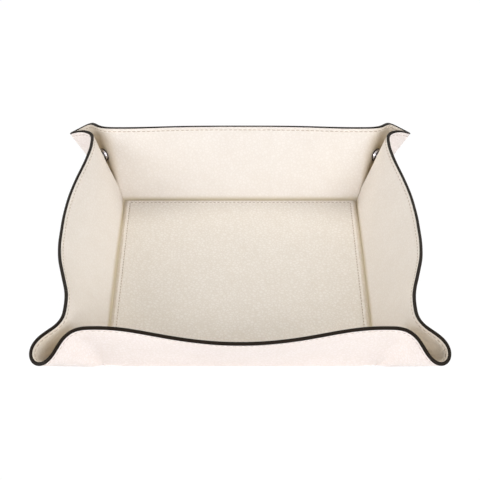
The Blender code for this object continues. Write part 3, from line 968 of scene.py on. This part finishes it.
STUD_BALL_HEIGHT = (STUD_FACE - STUD_TIP) * STUD_BALL_SHARE
STUD_PROFILE = (
    (HOLE, SEAT),
    (STUD_RADIUS, SEAT),
    (STUD_RADIUS, STUD_FACE + STUD_BEVEL_HEIGHT),
    (STUD_RADIUS - STUD_BEVEL, STUD_FACE),
    (STUD_NECK, STUD_FACE),
    (STUD_NECK, STUD_TIP + STUD_BALL_HEIGHT),
    (STUD_BALL, STUD_TIP + STUD_BALL_BAND[1] * STUD_BALL_HEIGHT),
    (STUD_BALL, STUD_TIP + STUD_BALL_BAND[0] * STUD_BALL_HEIGHT),
    (STUD_NECK, STUD_TIP),
    (HOLE, STUD_TIP),
)
SNAPS = {
    "socket": (SOCKET_PROFILE, post_profile(SOCKET_POST_TIP, flared=True)),
    "stud": (STUD_PROFILE, post_profile(STUD_TIP, flared=False)),
}


def add_snap(wall, end):
    """The socket on the front or back wall's half of a corner, or the stud on the side wall's half."""
    corner = corner_name(wall, end)
    kind = "socket" if wall.name in ("front", "back") else "stud"
    profile, post = SNAPS[kind]
    for node, shape, closed, material, slot in (
        (f"snap_{kind}_{corner}", profile, True, MATERIALS["chrome"], "snap_chrome"),
        (f"snap_{kind}_post_{corner}", post, False, MATERIALS["steel"], "snap_post"),
    ):
        piece = turned_piece(f"{node}_turned", wall, end, shape, closed, material)
        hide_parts(node)
        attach(piece, half_name(wall, end))


# Materials

# Most of a noise lies between these
NOISE_MIDDLE = (0.3, 0.7)

# Grain of the leather: its cells, by number per millimetre and share of the height, and the rest
PEBBLES = ((0.8, 0.36), (0.39, 0.64))
CELL_SLOPE = 0.3
WARP_REACH = 0.9
FINE_SHARE = 0.25
MOTTLE_SHARE = 0.14
# Strength of the painted shade in the grain's hollows
HOLLOW_SHADE_SHARE = 0.42
GRAIN_HEIGHT = 0.14 * MM
HOLLOW_ROUGHNESS = 0.12
TOP_ROUGHNESS = -0.03

# Where painted shade darkens the lining's tone, by place in the blank: in its folds, by the ratio, the
# greater and the sum of the distances past the two creases, and along its creases, by the distance past
# them, in millimetres
FOLD_SHADE_TURN = (0.06, 0.5)
FOLD_SHADE_START = (10.0, 26.0)
FOLD_SHADE_END = (48.0, 84.0)
FOLD_SHADE_END_SHARE = 0.3
CREASE_SHADE_ON_BASE = (-2.4, -0.2)
CREASE_SHADE_ON_WALL = (0.6, 5.2)

# Colours of leather, top and hollow, and of the painted shade in the lining's folds and creases
# The hollow colours take the painted shade in the grain's hollows and the leather's random mottle
LINING_CREAM = ((0.87, 0.80, 0.715), (0.66, 0.56, 0.44))
OUTER_CREAM = ((0.88, 0.79, 0.735), (0.70, 0.59, 0.48))
FOLD_PAINTED_SHADE = (0.72, 0.605, 0.42)
CREASE_PAINTED_SHADE = (0.64, 0.55, 0.395)

# Both ends of the other materials' colours and roughnesses
PAINT_BLACK = ((0.008, 0.005, 0.0018), (0.013, 0.0075, 0.004))
PAINT_ROUGHNESS = (0.42, 0.56)
PAINT_SPECK_SHARE = 0.15
TAN = ((0.62, 0.51, 0.40), (0.45, 0.35, 0.26))
BROWN = ((0.50, 0.38, 0.28), (0.35, 0.25, 0.17))
CREAM = ((0.70, 0.60, 0.51), (0.48, 0.40, 0.33))
# The chrome's colours: metal, set darker than polished chrome as painted dark reflection
CHROME = ((0.48, 0.44, 0.45), (0.68, 0.66, 0.65))
CHROME_MARK_RANGE = (0.35, 0.7)
CHROME_ROUGHNESS = (0.07, 0.2)
# A painted dark ring of shade and reflection round the flange's rim, between these radii in millimetres
CHROME_PAINTED_DARK_RING = (0.03, 0.026, 0.028)
CHROME_PAINTED_DARK_RING_RADII = (4.95, 5.15)
STEEL = ((0.42, 0.42, 0.43), (0.55, 0.55, 0.56))
STEEL_ROUGHNESS = (0.25, 0.42)
BOARD_GREY = ((0.24, 0.21, 0.17), (0.46, 0.42, 0.36))


class Nodes:
    """A node tree, built up by calls."""

    def __init__(self, tree):
        self.tree = tree

    def set(self, node, values):
        for key, value in values.items():
            if isinstance(value, bpy.types.NodeSocket):
                self.tree.links.new(value, node.inputs[key])
            else:
                node.inputs[key].default_value = value

    def node(self, kind, values=(), **settings):
        made = self.tree.nodes.new(kind)
        for key, value in settings.items():
            setattr(made, key, value)
        self.set(made, dict(values))
        return made

    def scaled(self, vector, scale):
        values = {0: vector, "Scale": scale}
        return self.node("ShaderNodeVectorMath", values, operation="SCALE").outputs["Vector"]

    def place(self):
        """The piece's own coordinates, in millimetres."""
        source = self.node("ShaderNodeAttribute", attribute_name="blank")
        return self.scaled(source.outputs["Vector"], 1 / MM)

    def noise(self, place, scale, detail, rough=0.5, output="Fac"):
        values = {"Vector": place, "Scale": scale, "Detail": detail, "Roughness": rough}
        return self.node("ShaderNodeTexNoise", values).outputs[output]

    def math(self, operation, first, second):
        return self.node("ShaderNodeMath", {0: first, 1: second}, operation=operation).outputs[0]

    def map(self, value, low, high, to_low, to_high, kind="LINEAR"):
        values = {"Value": value, "From Min": low, "From Max": high, "To Min": to_low, "To Max": to_high}
        return self.node("ShaderNodeMapRange", values, interpolation_type=kind).outputs["Result"]

    def step(self, value, low, high, to_low=0.0, to_high=1.0):
        return self.map(value, low, high, to_low, to_high, "SMOOTHSTEP")

    def mix(self, share, *ends):
        """A colour between two, each a socket or red, green and blue."""
        first, second = (end if isinstance(end, bpy.types.NodeSocket) else (*end, 1) for end in ends)
        return self.node("ShaderNodeMix", {0: share, 6: first, 7: second}, data_type="RGBA").outputs[2]

    def mix_shaders(self, share, first, second):
        values = {0: share, 1: first.outputs[0], 2: second.outputs[0]}
        return self.node("ShaderNodeMixShader", values)

    def bump(self, height, strength, distance):
        values = {"Height": height, "Strength": strength, "Distance": distance}
        return self.node("ShaderNodeBump", values).outputs["Normal"]

    def seen_rays(self):
        """1 for the rays that show a surface: camera, glossy and transmission rays."""
        path = self.node("ShaderNodeLightPath")
        seen = self.math("MAXIMUM", path.outputs["Is Camera Ray"], path.outputs["Is Glossy Ray"])
        return self.math("MAXIMUM", seen, path.outputs["Is Transmission Ray"])


class Material(Nodes):
    """A material with a Principled shader."""

    def __init__(self, name, colour, roughness, metallic=0.0):
        self.material = bpy.data.materials.new(name)
        self.material.use_nodes = True
        super().__init__(self.material.node_tree)
        self.shader = self.tree.nodes["Principled BSDF"]
        self.set(self.shader, {"Base Color": (*colour, 1), "Roughness": roughness, "Metallic": metallic})


def folds(made, place):
    """Shares of the painted shade in the corners' folds and along the creases round the base, by place
    in the blank.
    """
    axes = made.node("ShaderNodeSeparateXYZ", {"Vector": place})
    beyond = []
    for axis, half in (("X", HALF_WIDTH), ("Y", HALF_DEPTH)):
        size = made.math("ABSOLUTE", axes.outputs[axis], 0.0)
        beyond.append(made.math("SUBTRACT", size, half / MM))
    greater = made.math("MAXIMUM", *beyond)
    lesser = made.math("MAXIMUM", made.math("MINIMUM", *beyond), 0.0)
    turned = made.step(made.math("DIVIDE", lesser, greater), *FOLD_SHADE_TURN)
    started = made.step(greater, *FOLD_SHADE_START)
    ended = made.step(made.math("ADD", greater, lesser), *FOLD_SHADE_END, 1.0, FOLD_SHADE_END_SHARE)
    corner = made.math("MULTIPLY", turned, made.math("MULTIPLY", started, ended))
    on_base = made.step(greater, *CREASE_SHADE_ON_BASE)
    on_wall = made.step(greater, *CREASE_SHADE_ON_WALL, 1.0, 0.0)
    return corner, made.math("MULTIPLY", on_base, on_wall)


def leather(name, colour, hollow, roughness, grain, folded=False):
    """Pebble grain: rounded cells one and two millimetres across, with painted shade in the hollows."""
    made = Material(name, colour, roughness)
    place = made.place()
    warp = made.noise(place, scale=0.9, detail=2, output="Color")
    ends = {0: place, 1: made.scaled(warp, WARP_REACH)}
    moved = made.node("ShaderNodeVectorMath", ends, operation="ADD")
    height = 0.0
    for scale, share in PEBBLES:
        values = {"Vector": moved.outputs["Vector"], "Scale": scale, "Randomness": 0.95}
        cells = made.node("ShaderNodeTexVoronoi", values, feature="DISTANCE_TO_EDGE")
        pebble = made.step(cells.outputs["Distance"], 0.0, CELL_SLOPE, 0.0, share)
        height = made.math("ADD", pebble, height)
    fine = made.math("MULTIPLY", made.noise(place, scale=3.5, detail=3, rough=0.6), FINE_SHARE)
    mottle = made.noise(place, scale=0.05, detail=3, rough=0.55)
    mottle = made.map(mottle, *NOISE_MIDDLE, 0.0, MOTTLE_SHARE)
    # Painted shade in the grain's hollows, scaled by grain like the bump
    shade = made.math("MULTIPLY", made.math("SUBTRACT", 1.0, height), HOLLOW_SHADE_SHARE * grain)
    tone = made.mix(mottle, made.mix(shade, colour, hollow), hollow)
    # With folded, painted shade darkens the lining in the corners' folds and along the creases round the
    # base
    if folded:
        corner, crease = folds(made, place)
        tone = made.mix(crease, made.mix(corner, tone, FOLD_PAINTED_SHADE), CREASE_PAINTED_SHADE)
    made.set(made.shader, {
        "Base Color": tone,
        "Roughness": made.map(height, 0.0, 1.0, roughness + HOLLOW_ROUGHNESS, roughness + TOP_ROUGHNESS),
        "Normal": made.bump(made.math("ADD", height, fine), strength=0.8, distance=GRAIN_HEIGHT * grain),
        "Specular IOR Level": 0.42,
    })
    return made.material


def edge_paint():
    """Black edge paint, burnished to a low gloss, with slight brush waves."""
    made = Material("black_edge_paint", PAINT_BLACK[0], PAINT_ROUGHNESS[0])
    place = made.place()
    waves = made.noise(place, scale=0.45, detail=3)
    specks = made.math("MULTIPLY", made.noise(place, scale=4.0, detail=2), PAINT_SPECK_SHARE)
    made.set(made.shader, {
        "Base Color": made.mix(waves, *PAINT_BLACK),
        "Roughness": made.map(waves, *NOISE_MIDDLE, *PAINT_ROUGHNESS),
        "Normal": made.bump(made.math("ADD", waves, specks), strength=0.3, distance=0.2 * MM),
        "Specular IOR Level": 0.1,
    })
    return made.material


def thread(name, light, dark):
    """Waxed thread, with the slant of its plies."""
    made = Material(name, light, roughness=0.6)
    values = {"Vector": made.place(), "Scale": 0.55, "Distortion": 0.6, "Detail": 1.0}
    plies = made.node("ShaderNodeTexWave", values, bands_direction="DIAGONAL").outputs["Fac"]
    made.set(made.shader, {
        "Base Color": made.mix(plies, dark, light),
        "Normal": made.bump(plies, strength=0.4, distance=0.1 * MM),
        "Specular IOR Level": 0.35,
    })
    return made.material


def chrome():
    """Polished chrome with faint handling marks, and a painted dark ring of shade and reflection where
    its flange meets the leather.
    """
    made = Material("chrome", CHROME[0], CHROME_ROUGHNESS[0], metallic=1.0)
    place = made.place()
    marks = made.noise(place, scale=1.6, detail=4, rough=0.65)
    axes = made.node("ShaderNodeSeparateXYZ", {"Vector": place})
    squares = [made.math("POWER", axes.outputs[axis], 2.0) for axis in ("X", "Y")]
    radius = made.math("POWER", made.math("ADD", *squares), 0.5)
    # Painted shade and dark reflection: the metal is dark round the flange's outer rim
    edge = made.step(radius, *CHROME_PAINTED_DARK_RING_RADII)
    made.set(made.shader, {
        "Base Color": made.mix(edge, made.mix(marks, *CHROME), CHROME_PAINTED_DARK_RING),
        "Roughness": made.map(marks, *CHROME_MARK_RANGE, *CHROME_ROUGHNESS),
        "Normal": made.bump(marks, strength=0.05, distance=0.1 * MM),
    })
    return made.material


def steel():
    """Plain turned steel, with rings left by the tool."""
    made = Material("steel", STEEL[0], STEEL_ROUGHNESS[0], metallic=1.0)
    rings = made.noise(made.place(), scale=6.0, detail=3, rough=0.6)
    made.set(made.shader, {
        "Base Color": made.mix(rings, *STEEL),
        "Roughness": made.map(rings, *NOISE_MIDDLE, *STEEL_ROUGHNESS),
        "Normal": made.bump(rings, strength=0.1, distance=0.1 * MM),
    })
    return made.material


def board():
    """Pressed grey board with long pale and dark fibres."""
    made = Material("grey_board", BOARD_GREY[0], roughness=0.9)
    place = made.node("ShaderNodeTexCoord").outputs["Object"]
    fibres = made.noise(place, scale=900, detail=5, rough=0.7)
    made.set(made.shader, {
        "Base Color": made.mix(fibres, *BOARD_GREY),
        "Normal": made.bump(fibres, strength=0.4, distance=0.2 * MM),
    })
    return made.material


MATERIALS = {
    "lining": leather("cream_lining_leather", *LINING_CREAM, roughness=0.52, grain=0.65, folded=True),
    "panel": leather("cream_panel_leather", *LINING_CREAM, roughness=0.5, grain=1.25, folded=True),
    "outer": leather("cream_outer_leather", *OUTER_CREAM, roughness=0.5, grain=1.05),
    "paint": edge_paint(),
    "lining_thread": thread("tan_thread", *TAN),
    "panel_thread": thread("brown_thread", *BROWN),
    "outer_thread": thread("cream_thread", *CREAM),
    "chrome": chrome(),
    "steel": steel(),
    "board": board(),
}


# Stage

FLOOR_HALF_SIZE = 4.0
FLOOR_GREY = (0.9, 0.9, 0.9)
FLOOR_WHITE = 1.03
FLOOR_WHITE_SHARE = 0.93
FLOOR_PASS = 2 * MM
WHITE = (1, 1, 1, 1)
AMBIENT = 0.1
LAMP_DISTANCE = 1.6
LAMP_HEIGHT = 0.05
LAMP_WIDTH = 1.1
LAMP_TALLNESS = 0.6
COOL = (0.96, 0.993, 1.068)
WARM = (1.0, 1.0, 0.95)

# Name, azimuth, elevation, power and colour
LAMPS = (
    ("left_softbox", -60, 25, 10.5, COOL),
    ("left_low_softbox", -60, 6, 5.0, COOL),
    ("front_left_low_softbox", -30, 6, 3.6, COOL),
    ("front_right_softbox", 30, 25, 13.0, COOL),
    ("right_softbox", 60, 25, 1.4, COOL),
    ("right_low_softbox", 60, 6, 3.2, COOL),
    ("right_high_softbox", 60, 50, 4.6, COOL),
    ("back_high_softbox", 180, 50, 12.4, WARM),
    ("underside_softbox", 0, -90, 20.0, COOL),
)


def add_floor():
    """A pale floor that shows as white and keeps the tray's shadow.

    From below it isn't there, and it lets light from below through to what stands on it.
    """
    made = Material("pale_floor", FLOOR_GREY, roughness=0.9)
    diffuse = made.node("ShaderNodeBsdfDiffuse", {"Color": (*FLOOR_GREY, 1)})
    white = made.node("ShaderNodeEmission", {"Color": WHITE, "Strength": FLOOR_WHITE})
    whitened = made.math("MULTIPLY", made.seen_rays(), FLOOR_WHITE_SHARE)
    above = made.mix_shaders(whitened, diffuse, white)
    back = made.node("ShaderNodeNewGeometry").outputs["Backfacing"]
    near = made.math("LESS_THAN", made.node("ShaderNodeLightPath").outputs["Ray Length"], FLOOR_PASS)
    clear = made.node("ShaderNodeBsdfTransparent")
    both = made.mix_shaders(made.math("MAXIMUM", back, near), above, clear)
    made.set(made.tree.nodes["Material Output"], {"Surface": both.outputs[0]})
    made.tree.nodes.remove(made.shader)
    square = np.array(((-1, -1, 0), (1, -1, 0), (1, 1, 0), (-1, 1, 0)))
    floor = new_piece("floor", square * FLOOR_HALF_SIZE - UP * FIT, [(0, 1, 2, 3)], made.material)


def add_world():
    world = bpy.data.worlds.new("studio")
    bpy.context.scene.world = world
    world.use_nodes = True
    world.node_tree.nodes.clear()
    made = Nodes(world.node_tree)
    ambient = made.node("ShaderNodeBackground", {"Color": (*COOL, 1), "Strength": AMBIENT})
    white = made.node("ShaderNodeBackground", {"Color": WHITE, "Strength": 1.0})
    both = made.mix_shaders(made.seen_rays(), ambient, white)
    made.node("ShaderNodeOutputWorld", {"Surface": both.outputs[0]})


def add_lamp(name, azimuth, elevation, power, tint):
    """A softbox that faces the tray. azimuth is 0 in front and 90 to the right, in degrees."""
    light = bpy.data.lights.new(name, "AREA")
    light.shape = "RECTANGLE"
    light.size = LAMP_WIDTH
    light.size_y = LAMP_TALLNESS
    light.energy = power
    light.color = tint
    lamp = new_object(name, light)
    turn = azimuth * DEGREE
    rise = elevation * DEGREE
    away = Vector((math.sin(turn) * math.cos(rise), -math.cos(turn) * math.cos(rise), math.sin(rise)))
    lamp.location = away * LAMP_DISTANCE + LAMP_HEIGHT * Vector(UP)
    lamp.rotation_euler = away.to_track_quat("Z", "Y").to_euler()


def add_camera():
    camera = bpy.data.cameras.new("camera")
    camera.sensor_width = SENSOR
    camera.lens = FOCAL_PIXELS / FRAME_PIXELS * SENSOR
    camera.clip_start, camera.clip_end = CAMERA_CLIP
    eye = new_object("camera", camera)
    eye.location = CAMERA_PLACE
    eye.rotation_euler = (CAMERA_TILT, 0, 0)
    bpy.context.scene.camera = eye


for tray_wall in WALLS:
    add_wall(tray_wall)
    for wall_end in (-1, 1):
        add_half(tray_wall, wall_end)
        add_snap(tray_wall, wall_end)
add_base()
board_node = frame["nodes"]["base_board"]
board_node.data.materials.clear()
board_node.data.materials.append(MATERIALS["board"])

add_floor()
add_world()
for lamp_row in LAMPS:
    add_lamp(*lamp_row)
add_camera()
bpy.context.scene.view_settings.view_transform = "Standard"
